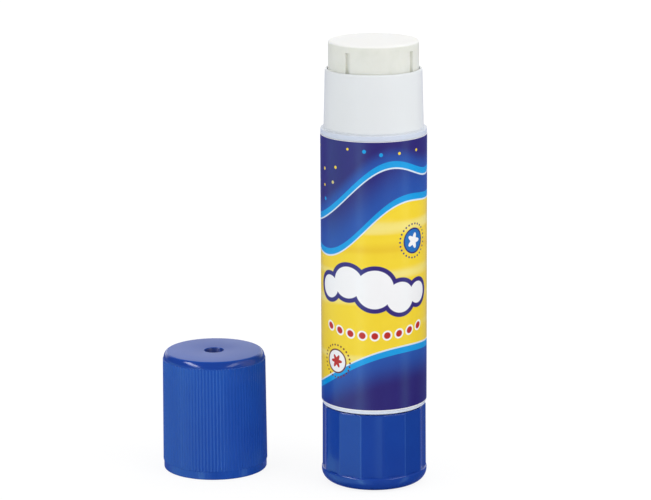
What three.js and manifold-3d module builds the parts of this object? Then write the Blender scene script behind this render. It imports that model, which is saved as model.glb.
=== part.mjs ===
// A twist-up glue stick, standing on its knob, with its cap taken off and standing beside it.
// Millimetres, +Z up. The origin is the centre of the knob's flat base, on the stick's axis.
// The viewer of the usual front view stands on the -Y side.
import * as THREE from "three";
import { mergeVertices } from "three/addons/utils/BufferGeometryUtils.js";
import Module from "manifold-3d";

const wasm = await Module();
wasm.setup();

// Facets round a full turn: wide round pieces, inner pieces, and steps in a turn of the screw thread
const wideFacets = 48;
const innerFacets = 32;
const threadSteps = 16;

// Collar that the cap slides over. The barrel, its bore, the knob and the cap follow its diameters
const collarHeight = 11.85;
const collarBaseDiameter = 19.8;
const collarTopDiameter = 19.2;
const collarWall = 0.5;
const collarEdge = 0.35;
const collarFillet = 0.15;

// Barrel: a straight tube below the collar's shoulder, with a neck and a floor at its lower end
const shoulderWidth = 0.48;
const lowerRim = 0.7;
const upperRim = 1.1;
const upperRimProud = 0.14;
const upperRimEdge = 0.12;
const floorThickness = 1.3;
const bushLength = 4.4;
const bushWall = 1.1;
const neckLength = 10.2;
const neckInset = 1.4;
const neckWall = 1.1;
const snapGrooveDepth = 0.3;
const snapGrooveHeight = 1.1;
const snapGrooveLift = 2.4;

// Keys inside the barrel that stop the glue from turning
const keyCount = 4;
const keyWidth = 0.8;
const keyDepth = 0.55;
const keyStop = 2.1;
const keyAngle = -35.5;

// Label: one sheet wrapped round the barrel, its end lapped over its start at the back
const labelHeight = 54.3;
const labelThickness = 0.15;
const labelFit = 0.05;
const labelLap = 2.6;
const labelEndGap = 0.1;
const lapAngle = 112;

// Knob with wide hollow flutes above a plain flange, whose lower part rounds in to the foot
const knobHeight = 15.9;
const knobProud = 0.15;
const knobDraft = 0.07;
const fluteCount = 14;
const fluteDepth = 0.42;
const fluteAngle = 9.9;
const flangeHeight = 2.95;
const flangeWall = 0.65;
const flangeProud = 0.08;
const baseEdge = 2.4;
const knobFloor = 1.6;
const footWidth = 1.1;
const padDiameter = 7.2;
const footRecess = 0.5;
const bossWall = 1.2;
const bossHeight = 9;
const knobWebs = 7;
const webThickness = 0.9;
const webHeight = 2.6;

// Spindle: a screw with a hexagonal drive at its foot, a thrust collar and a plain journal
const threadDiameter = 5.2;
const threadDepth = 0.7;
const threadPitch = 5;
const threadCrest = 1.7;
const threadFlank = 0.4;
const journalDiameter = 5.8;
const driveAcross = 5.4;
const thrustDiameter = 9;
const thrustThickness = 1.3;
const tipLength = 0.9;

// Carrier: the cup that lifts the glue
const carrierHeight = 8;
const carrierSkirt = 2.2;
const carrierFloor = 1.2;
const carrierWall = 0.7;
const cupDepth = 3.2;
const nutHeight = 5.6;
const nutWall = 1;
const toothInset = 0.2;
const vaneCount = 4;
const vaneThickness = 0.8;
const vaneShort = 0.9;
const carrierLift = 0.4;

// Glue
const glueShown = 5.75;
const glueDrop = 0.25;
const glueEdge = 0.4;
const glueCrown = 0.22;
const glueAboveTip = 2.9;

// Cap
const capHeight = 24.5;
const capWall = 0.65;
const capDraft = 0.2;
const capRibs = 96;
const capRibDepth = 0.12;
const capBand = 1.7;
const capBandStep = 0.02;
const capLip = 0.25;
const capLeadIn = 0.12;
const capShoulder = 1.45;
const capShoulderInset = 1;
const capTop = 1.3;
const dimpleDiameter = 3.9;
const dimpleDepth = 2.6;
const dimpleWall = 1.1;
const capX = -32.5;
const capY = 9.1;

// Clearances
const seamGap = 0.3;
const runningFit = 0.2;
const seatGap = 0.3;
const guideFit = 0.15;
const glueFit = 0.15;
const castFit = 0.12;
const threadFit = 0.25;
const snapFit = 0.15;
const driveFit = 0.08;
const capFit = 0.12;

// Radii that several pieces share
const collarWidest = Math.max(collarBaseDiameter, collarTopDiameter) / 2;
const collarNarrowest = Math.min(collarBaseDiameter, collarTopDiameter) / 2;
const barrelRadius = collarWidest + shoulderWidth;
const boreRadius = collarNarrowest - collarWall;
const neckRadius = barrelRadius - neckInset;
const knobRadius = barrelRadius + knobProud;
const capMouth = collarWidest + capFit;
const capRadius = capMouth + capWall;
const labelInner = barrelRadius + labelFit;
const labelOuter = labelInner + labelThickness;
const keyTipRadius = boreRadius - keyDepth;
const journalRadius = journalDiameter / 2;
const bushBore = journalRadius + runningFit;
const threadRadius = threadDiameter / 2;
const threadRoot = threadRadius - threadDepth;
const glueRadius = boreRadius - glueFit;
const carrierRadius = boreRadius - guideFit;
const nutBore = threadRadius + threadFit;
const nutRadius = nutBore + nutWall;
const cupRadius = carrierRadius - carrierWall;
const vaneInner = nutRadius - nutWall / 2;
const vaneOuter = cupRadius - vaneShort;

// Heights, from the base up
const barrelFoot = knobHeight + seamGap;
const labelFoot = barrelFoot + lowerRim;
const labelHead = labelFoot + labelHeight;
const shoulderZ = labelHead + upperRim;
const mouthZ = shoulderZ + collarHeight;
const floorTop = barrelFoot + floorThickness;
const neckFoot = barrelFoot - neckLength;
const bushFoot = floorTop - bushLength;
const thrustTop = bushFoot - seatGap;
const thrustFoot = thrustTop - thrustThickness;
const bossTop = Math.min(knobFloor + bossHeight, thrustFoot - seatGap);
const webTop = Math.min(knobFloor + webHeight, neckFoot - seatGap);
const glueTop = mouthZ + glueShown;
const retraction = glueShown + glueDrop;
const tipZ = mouthZ - glueDrop - glueAboveTip;
const carrierFoot = floorTop + carrierLift + retraction;
const cupFloor = carrierFoot + carrierSkirt;
const cupTop = cupFloor + carrierFloor;

// The left-hand screw's ridge is at this height at the angle 0, and falls by one pitch a turn
const ridgeStart = floorTop + threadPitch;

const degrees = Math.PI / 180;

// A closed mesh as a solid for cutting and joining
function solid(geometry) {
  const bare = geometry.clone();
  bare.deleteAttribute("normal");
  bare.deleteAttribute("uv");
  const merged = mergeVertices(bare, 1e-5);
  return new wasm.Manifold(
    new wasm.Mesh({
      numProp: 3,
      vertProperties: merged.attributes.position.array,
      triVerts: new Uint32Array(merged.index.array),
    }),
  );
}

// A solid back as a mesh's geometry, with flat facets
function geometryOf(made) {
  const mesh = made.getMesh();
  const geometry = new THREE.BufferGeometry();
  const positions = new Float32Array(mesh.vertProperties);
  geometry.setAttribute("position", new THREE.BufferAttribute(positions, 3));
  geometry.setIndex(new THREE.BufferAttribute(new Uint32Array(mesh.triVerts), 1));
  const faceted = geometry.toNonIndexed();
  faceted.computeVertexNormals();
  return faceted;
}

// A revolve about Z of an outline of [radius, height] points, listed counter-clockwise
function revolve(outline, facets) {
  const points = outline.map(([r, z]) => new THREE.Vector2(r, z));
  points.push(points[0].clone());
  return solid(new THREE.LatheGeometry(points, facets).rotateX(Math.PI / 2));
}

// Points of a quarter round between two corners, from one direction to the other
function rounding(cx, cz, rx, rz, from, to, steps) {
  return Array.from({ length: steps + 1 }, (_, i) => {
    const a = (from + ((to - from) * i) / steps) * degrees;
    return [cx + rx * Math.cos(a), cz + rz * Math.sin(a)];
  });
}

// A flat shape raised from z0 to z1
function prism(shape, z0, z1, holes = []) {
  shape.holes = holes;
  const settings = { depth: z1 - z0, bevelEnabled: false, curveSegments: 4 };
  return solid(new THREE.ExtrudeGeometry(shape, settings).translate(0, 0, z0));
}

// A flat shape through points given by a function of the angle
function roundShape(count, pointAt) {
  const points = Array.from({ length: count }, (_, i) => pointAt(i));
  return new THREE.Shape(points.map(([r, a]) => new THREE.Vector2(r * Math.cos(a), r * Math.sin(a))));
}

function disc(radius, facets) {
  return roundShape(facets, (i) => [radius, (i * 2 * Math.PI) / facets]);
}

function cylinder(radius, z0, z1, facets) {
  return prism(disc(radius, facets), z0, z1);
}

// A box that reaches outwards from r0 to r1 along an angle, centred on it
function radialBox(r0, r1, width, z0, z1, angle) {
  const box = new THREE.BoxGeometry(r1 - r0, width, z1 - z0);
  box.translate((r0 + r1) / 2, 0, (z0 + z1) / 2);
  return solid(box.rotateZ(angle * degrees));
}

// The same box repeated evenly round the axis
function radialBoxes(count, first, r0, r1, width, z0, z1) {
  const angles = Array.from({ length: count }, (_, i) => first + (i * 360) / count);
  return wasm.Manifold.union(angles.map((a) => radialBox(r0, r1, width, z0, z1, a)));
}

// Narrows a solid evenly from full size at z0 to a lesser radius at z1
function drafted(made, radius, draft, z0, z1) {
  return made.warp((v) => {
    const share = Math.min(1, Math.max(0, (v[2] - z0) / (z1 - z0)));
    const scale = 1 - (share * draft) / radius;
    v[0] *= scale;
    v[1] *= scale;
  });
}

// A left-hand helical ridge: a section of [radius, height] points, listed counter-clockwise,
// that is swept down as it turns
function helicalRidge(section, startZ, turns) {
  const rings = Math.round(turns * threadSteps) + 1;
  const size = section.length;
  const positions = [];
  for (let i = 0; i < rings; i++) {
    const turn = i / threadSteps;
    const a = turn * 2 * Math.PI;
    for (const [r, z] of section) {
      positions.push(r * Math.cos(a), r * Math.sin(a), startZ - turn * threadPitch + z);
    }
  }
  const index = [];
  for (let i = 0; i < rings - 1; i++) {
    for (let k = 0; k < size; k++) {
      const a = i * size + k;
      const b = i * size + ((k + 1) % size);
      index.push(a, a + size, b, b, a + size, b + size);
    }
  }
  for (let k = 1; k < size - 1; k++) {
    const last = (rings - 1) * size;
    index.push(0, k, k + 1, last, last + k + 1, last + k);
  }
  const geometry = new THREE.BufferGeometry();
  geometry.setAttribute("position", new THREE.Float32BufferAttribute(positions, 3));
  geometry.setIndex(index);
  return solid(geometry);
}

// The barrel's whole outline, from the bush's mouth round the outside and back down the bore
function makeBarrel() {
  const rimRadius = barrelRadius + upperRimProud;
  const rimFlat = rimRadius - upperRimEdge;
  const collarBase = collarBaseDiameter / 2;
  const collarTop = collarTopDiameter / 2;
  const fillet = Math.min(collarFillet, rimFlat - collarBase);
  const grooveFoot = neckFoot + snapGrooveLift;
  const grooveHead = grooveFoot + snapGrooveHeight;
  const grooveRadius = neckRadius - snapGrooveDepth;
  const neckBore = neckRadius - neckWall;
  const outline = [
    [bushBore, bushFoot],
    [bushBore + bushWall, bushFoot],
    [bushBore + bushWall, barrelFoot],
    [neckBore, barrelFoot],
    [neckBore, neckFoot],
    [neckRadius - 0.4, neckFoot],
    [neckRadius, neckFoot + 0.6],
    [neckRadius, grooveFoot],
    [grooveRadius, grooveFoot],
    [grooveRadius, grooveHead],
    [neckRadius, grooveHead],
    [neckRadius, barrelFoot],
    [barrelRadius - 0.15, barrelFoot],
    [barrelRadius, barrelFoot + 0.15],
    [barrelRadius, labelHead + labelEndGap],
    [rimRadius, labelHead + labelEndGap],
    ...rounding(rimFlat, shoulderZ - upperRimEdge, upperRimEdge, upperRimEdge, 0, 90, 2),
    ...rounding(collarBase + fillet, shoulderZ + fillet, fillet, fillet, 270, 180, 3),
    ...rounding(collarTop - collarEdge, mouthZ - collarEdge, collarEdge, collarEdge, 0, 90, 3),
    [boreRadius, mouthZ],
    [boreRadius, floorTop],
    [bushBore, floorTop],
  ];
  const keys = radialBoxes(
    keyCount,
    keyAngle,
    keyTipRadius,
    (boreRadius + collarNarrowest) / 2,
    keyWidth,
    floorTop - floorThickness / 2,
    mouthZ - keyStop,
  );
  return revolve(outline, wideFacets).add(keys);
}

// A sheet wrapped once round, with a raised strip where its end laps over its start
function makeLabel() {
  const lapShare = labelLap / (2 * Math.PI * labelOuter);
  const lapFacets = Math.max(2, Math.round(lapShare * wideFacets));
  const start = lapAngle * degrees;
  const lapStep = (lapShare * 2 * Math.PI) / lapFacets;
  const restFacets = wideFacets - lapFacets;
  const restStep = ((1 - lapShare) * 2 * Math.PI) / restFacets;
  const sheet = Array.from({ length: restFacets + 1 }, (_, i) => {
    return [labelOuter, start + lapFacets * lapStep + i * restStep];
  });
  const lap = Array.from({ length: lapFacets + 1 }, (_, i) => {
    return [labelOuter + labelThickness, start + 2 * Math.PI + i * lapStep];
  });
  const outline = [...sheet, ...lap];
  const outer = roundShape(outline.length, (i) => outline[i]);
  const inner = disc(labelInner / Math.cos(Math.PI / wideFacets), wideFacets);
  return prism(outer, labelFoot, labelHead, [inner]);
}

// The hollow flutes as one closed outline: sharp ridges joined by shallow curves
function flutedShape() {
  const ridge = knobRadius;
  const halfStep = Math.PI / fluteCount;
  const control = 2 * (ridge - fluteDepth) - ridge * Math.cos(halfStep);
  const at = (r, a) => [r * Math.cos(a), r * Math.sin(a)];
  const first = (fluteAngle - 90) * degrees;
  const shape = new THREE.Shape();
  shape.moveTo(...at(ridge, first));
  for (let i = 0; i < fluteCount; i++) {
    const a = first + 2 * i * halfStep;
    shape.quadraticCurveTo(...at(control, a + halfStep), ...at(ridge, a + 2 * halfStep));
  }
  return shape;
}

function makeKnob() {
  const flangeRadius = knobRadius + flangeProud;
  const bore = neckRadius + runningFit;
  const beadZ = neckFoot + snapGrooveLift + snapGrooveHeight / 2;
  const beadRadius = neckRadius - snapGrooveDepth + snapFit;
  const beadHalf = snapGrooveHeight / 2 - snapFit;
  const footRadius = flangeRadius - baseEdge;
  const baseRise = flangeHeight - flangeWall;
  const socket = driveAcross / 2 + driveFit;
  const boss = socket / Math.cos(Math.PI / 6) + bossWall;
  const flange = revolve(
    [
      [0, 0],
      [padDiameter / 2, 0],
      [padDiameter / 2, footRecess],
      [footRadius - footWidth, footRecess],
      [footRadius - footWidth, 0],
      ...rounding(footRadius, baseRise, baseEdge, baseRise, 270, 360, 5),
      ...rounding(flangeRadius - 0.2, flangeHeight - 0.2, 0.2, 0.2, 0, 90, 2),
      [0, flangeHeight],
    ],
    wideFacets,
  );
  const flutes = drafted(
    prism(flutedShape(), flangeHeight - flangeWall / 2, knobHeight),
    knobRadius,
    knobDraft,
    flangeHeight,
    knobHeight,
  );
  const hollow = revolve(
    [
      [0, knobFloor],
      [bore, knobFloor],
      [bore, beadZ - beadHalf],
      [beadRadius, beadZ - beadHalf / 2],
      [beadRadius, beadZ + beadHalf / 2],
      [bore, beadZ + beadHalf],
      [bore, knobHeight - 0.3],
      [bore + 0.3, knobHeight + 1],
      [0, knobHeight + 1],
    ],
    wideFacets,
  );
  const post = cylinder(boss, knobFloor / 2, bossTop, innerFacets);
  const webs = radialBoxes(knobWebs, 0, boss / 2, bore + 0.3, webThickness, knobFloor / 2, webTop);
  const drive = cylinder(socket / Math.cos(Math.PI / 6), knobFloor, bossTop + 1, 6);
  return flange.add(flutes).subtract(hollow).add(webs).add(post).subtract(drive);
}

function makeSpindle() {
  const corner = driveAcross / 2 / Math.cos(Math.PI / 6);
  const driveFoot = knobFloor + seatGap;
  const journalTop = floorTop + carrierLift / 2;
  const shaft = revolve(
    [
      [0, thrustFoot],
      [thrustDiameter / 2, thrustFoot],
      [thrustDiameter / 2, thrustTop],
      [journalRadius, thrustTop],
      [journalRadius, journalTop - 0.4],
      [threadRoot, journalTop],
      [threadRoot, tipZ - tipLength],
      [threadRoot * 0.5, tipZ],
      [0, tipZ],
    ],
    threadSteps,
  );
  const half = threadCrest / 2;
  const foot = half + threadFlank;
  const section = [
    [threadRoot - 0.3, -foot],
    [threadRadius, -half],
    [threadRadius, half],
    [threadRoot - 0.3, foot],
  ];
  const top = tipZ - tipLength - foot;
  const turnsAbove = Math.floor((top - ridgeStart) / threadPitch);
  const turns = turnsAbove + (ridgeStart - journalTop - foot) / threadPitch;
  const ridge = helicalRidge(section, ridgeStart + turnsAbove * threadPitch, turns);
  return shaft.add(ridge).add(cylinder(corner, driveFoot, thrustFoot + 0.2, 6));
}

// The notches that let the carrier and the glue pass over the barrel's keys
function keyways(gap, z0, z1) {
  const depth = keyTipRadius - gap;
  return radialBoxes(keyCount, keyAngle, depth, boreRadius + 1, keyWidth + 2 * gap, z0, z1);
}

function makeCarrier() {
  const cup = revolve(
    [
      [nutBore, carrierFoot],
      [nutRadius, carrierFoot],
      [nutRadius, cupFloor],
      [cupRadius, cupFloor],
      [cupRadius, carrierFoot],
      [carrierRadius - 0.1, carrierFoot],
      [carrierRadius, carrierFoot + 0.3],
      [carrierRadius, cupTop + cupDepth],
      [cupRadius, cupTop + cupDepth],
      [cupRadius, cupTop],
      [nutRadius, cupTop],
      [nutRadius, carrierFoot + nutHeight],
      [nutBore, carrierFoot + nutHeight],
    ],
    innerFacets,
  );
  const vanes = radialBoxes(
    vaneCount,
    keyAngle + 180 / keyCount,
    vaneInner,
    vaneOuter,
    vaneThickness,
    cupTop - carrierFloor / 2,
    carrierFoot + carrierHeight,
  );
  const groove = threadPitch - threadCrest;
  const tipHalf = groove / 2 - threadFlank - threadFit;
  const footHalf = tipHalf + threadFlank;
  const toothTip = threadRoot + threadFit;
  const section = [
    [toothTip, -tipHalf],
    [nutBore + nutWall / 3, -footHalf],
    [nutBore + nutWall / 3, footHalf],
    [toothTip, tipHalf],
  ];
  const clearTurns = Math.ceil((carrierFoot - ridgeStart) / threadPitch);
  const toothRise = nutHeight - 2 * (footHalf + toothInset);
  const toothSteps = Math.floor((toothRise / threadPitch) * threadSteps);
  const middle = ridgeStart + (clearTurns + 0.5) * threadPitch;
  const tooth = helicalRidge(section, middle, Math.max(toothSteps, 1) / threadSteps);
  const shift = carrierFoot + nutHeight - toothInset - footHalf - middle;
  const angle = -(shift / threadPitch) * 360;
  const placed = tooth.rotate([0, 0, angle]).translate([0, 0, shift]);
  const ways = keyways(guideFit, carrierFoot - 1, cupTop + cupDepth + 1);
  return cup.subtract(ways).add(vanes).add(placed);
}

// The cast glue: it fills the cup, takes the keys' grooves and has a bore round the spindle
function makeGlue() {
  const plugRadius = cupRadius - castFit;
  const cupRim = cupTop + cupDepth + castFit;
  const foot = cupTop + castFit;
  const nutTop = carrierFoot + nutHeight + castFit;
  const hubRadius = nutRadius + castFit;
  const coreRadius = threadRadius + runningFit;
  const coreTop = tipZ + retraction + seatGap;
  const edgeZ = glueTop - glueCrown - glueEdge;
  const body = revolve(
    [
      [hubRadius, foot],
      [plugRadius, foot],
      [plugRadius, cupRim],
      [glueRadius, cupRim],
      ...rounding(glueRadius - glueEdge, edgeZ, glueEdge, glueEdge, 0, 75, 4),
      [glueRadius * 0.55, glueTop - glueCrown * 0.25],
      [0, glueTop],
      [0, coreTop],
      [coreRadius, coreTop],
      [coreRadius, nutTop],
      [hubRadius, nutTop],
    ],
    wideFacets,
  );
  const slots = radialBoxes(
    vaneCount,
    keyAngle + 180 / keyCount,
    vaneInner - castFit,
    vaneOuter + castFit,
    vaneThickness + 2 * castFit,
    foot - 1,
    carrierFoot + carrierHeight + castFit,
  );
  const grooveTop = mouthZ - keyStop + retraction + castFit;
  return body.subtract(slots).subtract(keyways(guideFit, foot - 1, grooveTop));
}

// Fine upright ribs as one closed outline
function ribbedShape(radius) {
  const step = (2 * Math.PI) / capRibs;
  const profile = [
    [radius - capRibDepth, 0],
    [radius, 0.35],
    [radius, 0.65],
  ];
  return roundShape(capRibs * profile.length, (i) => {
    const [r, share] = profile[i % profile.length];
    return [r, (Math.floor(i / profile.length) + share) * step];
  });
}

function makeCap() {
  const topRadius = capRadius - capDraft;
  const bandRadius = capRadius - capRibDepth - capBandStep;
  const shoulderRadius = topRadius - capRibDepth - capBandStep;
  const ribTop = capHeight - capShoulder;
  const seat = collarTopDiameter / 2 + capFit;
  const seatZ = collarHeight + seatGap;
  const inside = capHeight - capTop;
  const flatRadius = shoulderRadius - capShoulderInset;
  const ends = revolve(
    [
      [0, 0],
      ...rounding(bandRadius - capLip, capLip, capLip, capLip, 270, 360, 3),
      [bandRadius, capBand],
      ...rounding(flatRadius, ribTop, capShoulderInset, capShoulder, 0, 90, 6),
      [0, capHeight],
    ],
    wideFacets,
  );
  const ribs = drafted(
    prism(ribbedShape(capRadius), capBand, ribTop),
    capRadius,
    capDraft,
    capBand,
    ribTop,
  );
  const hollow = revolve(
    [
      [0, -1],
      [capMouth + capLeadIn, -1],
      [capMouth + capLeadIn, 0],
      [capMouth, 3 * capLeadIn],
      [seat, seatZ],
      [boreRadius, seatZ],
      [boreRadius - 0.25, inside - 0.8],
      [boreRadius - 1.05, inside],
      [0, inside],
    ],
    wideFacets,
  );
  const dimple = dimpleDiameter / 2;
  const dimpleFoot = capHeight - dimpleDepth;
  const cup = cylinder(dimple + dimpleWall, dimpleFoot - dimpleWall, inside + capTop / 2, innerFacets);
  const recess = revolve(
    [
      [0, dimpleFoot],
      [dimple - 0.15, dimpleFoot],
      [dimple, capHeight - 0.25],
      [dimple + 0.3, capHeight + 0.05],
      [dimple + 0.3, capHeight + 1],
      [0, capHeight + 1],
    ],
    innerFacets,
  );
  return ends.add(ribs).subtract(hollow).add(cup).subtract(recess);
}

function material(color, roughness) {
  return new THREE.MeshStandardMaterial({ color, roughness, metalness: 0 });
}

const whitePlastic = material(0xe9ecec, 0.4);
const bluePlastic = material(0x2350a8, 0.3);
const printedFilm = material(0xf6d520, 0.3);
const naturalPlastic = material(0xe4e2da, 0.5);
const paleGlue = material(0xe6e7dc, 0.45);

function piece(name, made, finish) {
  const mesh = new THREE.Mesh(geometryOf(made), finish);
  mesh.name = name;
  return mesh;
}

const stick = new THREE.Group();
stick.add(
  piece("barrel", makeBarrel(), whitePlastic),
  piece("label", makeLabel(), printedFilm),
  piece("knob", makeKnob(), bluePlastic),
  piece("spindle", makeSpindle(), naturalPlastic),
  piece("carrier", makeCarrier(), naturalPlastic),
  piece("glue", makeGlue(), paleGlue),
);

const cap = piece("cap", makeCap(), bluePlastic);
cap.position.set(capX, capY, 0);

const glueStick = new THREE.Group();
glueStick.add(stick, cap);

export default glueStick;
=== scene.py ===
import math

import bmesh
import bpy
from mathutils import Matrix, Vector


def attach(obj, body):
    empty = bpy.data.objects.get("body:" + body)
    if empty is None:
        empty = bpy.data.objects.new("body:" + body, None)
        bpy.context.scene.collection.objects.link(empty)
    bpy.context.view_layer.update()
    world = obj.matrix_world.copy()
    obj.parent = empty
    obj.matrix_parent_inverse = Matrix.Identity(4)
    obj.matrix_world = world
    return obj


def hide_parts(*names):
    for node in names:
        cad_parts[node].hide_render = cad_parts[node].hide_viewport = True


# A twist-up glue stick with its cap off. Lengths in the dictionaries are millimetres,
# colours are 0 to 255 and angles are degrees.
mm = 0.001
fullTurn = 2 * math.pi

print("frame: loading the packed part")
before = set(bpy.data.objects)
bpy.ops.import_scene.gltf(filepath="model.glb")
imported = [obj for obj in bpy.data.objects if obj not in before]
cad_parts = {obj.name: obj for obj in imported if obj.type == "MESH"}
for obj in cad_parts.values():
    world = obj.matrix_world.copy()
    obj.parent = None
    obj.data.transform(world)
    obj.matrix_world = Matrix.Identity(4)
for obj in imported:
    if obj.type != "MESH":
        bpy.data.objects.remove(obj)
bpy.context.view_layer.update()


# Meshes

def profile(corners, closed=False):
    # a wire in the XZ plane through (radius, height, rounding), with the corners rounded
    mesh = bmesh.new()
    points = [mesh.verts.new((radius * mm, 0, height * mm)) for radius, height, _ in corners]
    for start, end in zip(points, points[1:]):
        mesh.edges.new((start, end))
    if closed:
        mesh.edges.new((points[-1], points[0]))
    for point, (_, _, rounding) in zip(points, corners):
        if rounding:
            bmesh.ops.bevel(
                mesh, geom=[point], offset=rounding * mm, offset_type="OFFSET", affect="VERTICES",
                segments=5, profile=0.5, material=-1, clamp_overlap=True,
            )
    return mesh


def quarterTurn(steps):
    return [math.radians(90 * step / steps) for step in range(steps + 1)]


def spinRound(mesh, steps):
    bmesh.ops.spin(
        mesh, geom=mesh.verts[:] + mesh.edges[:], cent=(0, 0, 0), axis=(0, 0, 1),
        angle=fullTurn, steps=steps, use_merge=True, use_duplicate=False,
    )
    bmesh.ops.remove_doubles(mesh, verts=mesh.verts[:], dist=0.002 * mm)
    bmesh.ops.recalc_face_normals(mesh, faces=mesh.faces[:])


def turn(mesh, degrees):
    spun = Matrix.Rotation(math.radians(degrees), 3, "Z")
    bmesh.ops.rotate(mesh, verts=mesh.verts[:], cent=(0, 0, 0), matrix=spun)


def cutAlong(mesh, point, normal):
    geometry = mesh.verts[:] + mesh.edges[:] + mesh.faces[:]
    at = Vector(point) * mm
    bmesh.ops.bisect_plane(mesh, geom=geometry, dist=0.0005 * mm, plane_co=at, plane_no=Vector(normal))


def radiusOf(vert):
    return math.hypot(vert.co.x, vert.co.y) / mm


def angleOf(vert):
    return math.atan2(vert.co.y, vert.co.x)


def setRadius(vert, radius):
    share = radius * mm / math.hypot(vert.co.x, vert.co.y)
    vert.co.x *= share
    vert.co.y *= share


def radialStrips(mesh, count, first, halfWidth, side, low, high, wall, radius):
    # moves a round wall in or out to another radius along upright strips, such as keys and grooves
    directions = [math.radians(first) + index * fullTurn / count for index in range(count)]
    for direction in directions[: (count + 1) // 2]:
        across = Vector((-math.sin(direction), math.cos(direction), 0))
        for offset in (-halfWidth - side, -halfWidth, halfWidth, halfWidth + side):
            cutAlong(mesh, across * offset, across)
    for height in (low, low + side, high - side, high):
        cutAlong(mesh, (0, 0, height), (0, 0, 1))
    slack = 0.004
    for vert in mesh.verts:
        height = vert.co.z / mm
        inBand = low + side - slack < height < high - side + slack
        if not inBand or not wall - 0.01 < radiusOf(vert) < wall + 0.01:
            continue
        for direction in directions:
            along = (vert.co.x * math.cos(direction) + vert.co.y * math.sin(direction)) / mm
            aside = (vert.co.y * math.cos(direction) - vert.co.x * math.sin(direction)) / mm
            if along > 0 and abs(aside) < halfWidth + slack:
                setRadius(vert, radius)


def finishPiece(mesh, name, sharpAbove):
    bmesh.ops.recalc_face_normals(mesh, faces=mesh.faces[:])
    data = bpy.data.meshes.new(name)
    mesh.to_mesh(data)
    mesh.free()
    data.shade_smooth()
    data.set_sharp_from_angle(angle=math.radians(sharpAbove))
    piece = bpy.data.objects.new(name, data)
    bpy.context.scene.collection.objects.link(piece)
    flat = piece.modifiers.new("flatFaces", "WEIGHTED_NORMAL")
    flat.keep_sharp = True
    return piece


def bars(count, first, inner, outer, width, foot, top):
    # upright bars that reach outwards, evenly round the axis, as an object for a boolean
    mesh = bmesh.new()
    for index in range(count):
        made = bmesh.ops.create_cube(mesh, size=mm)["verts"]
        bmesh.ops.scale(mesh, verts=made, vec=(outer - inner, width, top - foot))
        middle = Vector((inner + outer, 0, foot + top)) * mm / 2
        bmesh.ops.translate(mesh, verts=made, vec=middle)
        spun = Matrix.Rotation(math.radians(first + index * 360 / count), 3, "Z")
        bmesh.ops.rotate(mesh, verts=made, cent=(0, 0, 0), matrix=spun)
    data = bpy.data.meshes.new("bars")
    mesh.to_mesh(data)
    mesh.free()
    tool = bpy.data.objects.new("bars", data)
    bpy.context.scene.collection.objects.link(tool)
    return tool


def joinOrCut(mesh, tool, operation):
    # a boolean with the tool, and the result back as a bmesh
    data = bpy.data.meshes.new("raw")
    mesh.to_mesh(data)
    mesh.free()
    raw = bpy.data.objects.new("raw", data)
    bpy.context.scene.collection.objects.link(raw)
    modifier = raw.modifiers.new("boolean", "BOOLEAN")
    modifier.operation = operation
    modifier.solver = "EXACT"
    modifier.object = tool
    bpy.context.view_layer.update()
    shaped = raw.evaluated_get(bpy.context.evaluated_depsgraph_get())
    result = bmesh.new()
    result.from_mesh(shaped.to_mesh())
    shaped.to_mesh_clear()
    bpy.data.objects.remove(raw)
    bpy.data.objects.remove(tool)
    return result


# Materials

def linear(color):
    shares = [part / 255 for part in color]
    return tuple(s / 12.92 if s <= 0.04045 else ((s + 0.055) / 1.055) ** 2.4 for s in shares) + (1,)


class Signal:
    # a socket that can be used in plain arithmetic
    def __init__(self, surface, socket):
        self.surface = surface
        self.socket = socket

    def __add__(self, other):
        return self.surface.maths("ADD", self, other)

    def __radd__(self, other):
        return self.surface.maths("ADD", other, self)

    def __sub__(self, other):
        return self.surface.maths("SUBTRACT", self, other)

    def __rsub__(self, other):
        return self.surface.maths("SUBTRACT", other, self)

    def __mul__(self, other):
        return self.surface.maths("MULTIPLY", self, other)

    def __rmul__(self, other):
        return self.surface.maths("MULTIPLY", other, self)

    def __truediv__(self, other):
        return self.surface.maths("DIVIDE", self, other)

    def __neg__(self):
        return self.surface.maths("MULTIPLY", self, -1)


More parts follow.
